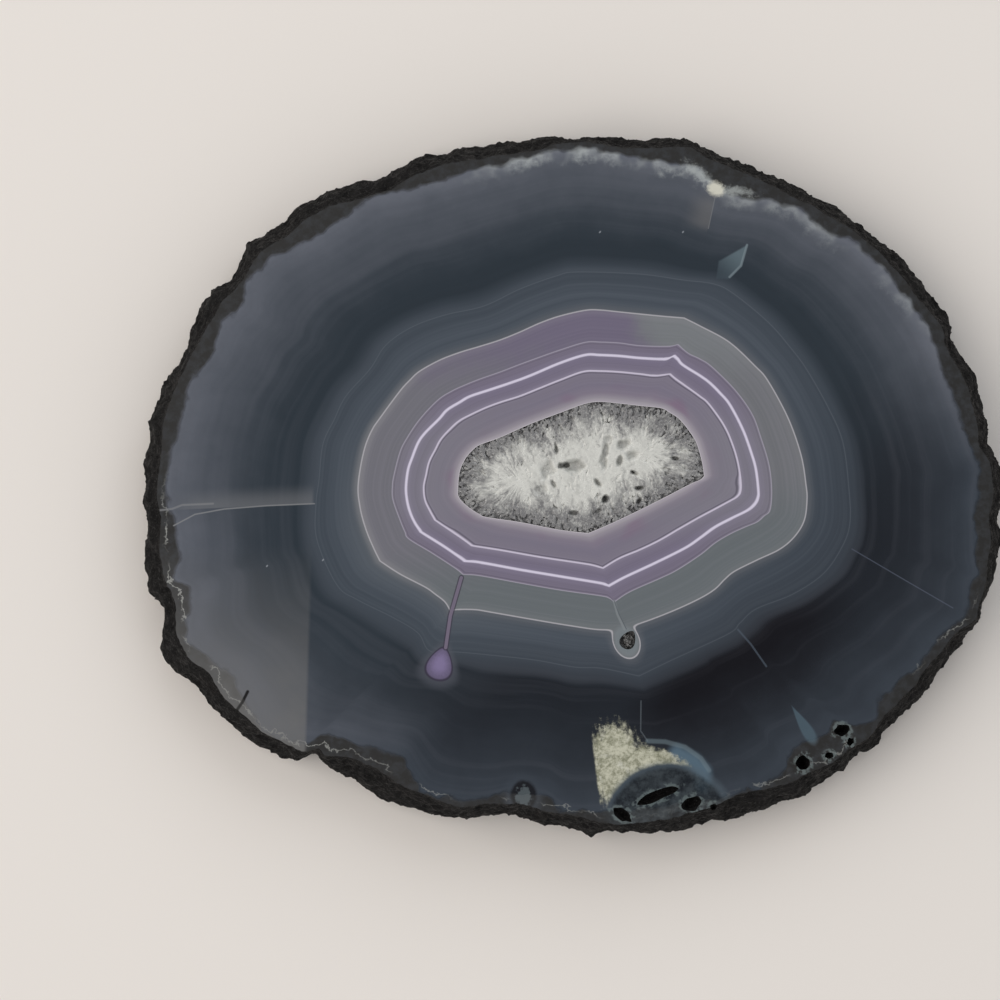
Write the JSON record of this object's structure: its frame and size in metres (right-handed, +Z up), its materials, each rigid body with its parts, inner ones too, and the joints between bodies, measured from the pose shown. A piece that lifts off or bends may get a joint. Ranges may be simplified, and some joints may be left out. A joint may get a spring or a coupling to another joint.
{
  "type": "agate geode slice",
  "caption": "Thick polished slab of banded agate with a rough rind and a crystal-filled hollow, for display lying flat on its sawn underside.",
  "frame": {"origin": "middle of the flat sawn underside, at the height of the surface the slice rests on", "axes": "+X along the long side of the slice, +Y across it, +Z up out of the polished face"},
  "size_m": [0.13, 0.1056, 0.012],
  "materials": {
    "banded_agate": "polished grey and lilac bands on the face, rough dark rind on the wall, matte sawn underside",
    "quartz_crystals": "milky white quartz crystals with flat shining faces",
    "smoky_quartz_crystals": "small dark grey quartz crystals with glints"
  },
  "bodies": {
    "root": {"agate_slab": "banded_agate", "quartz_crystal_crust": "quartz_crystals", "small_hollow_crystals": "smoky_quartz_crystals"}
  },
  "joints": []
}
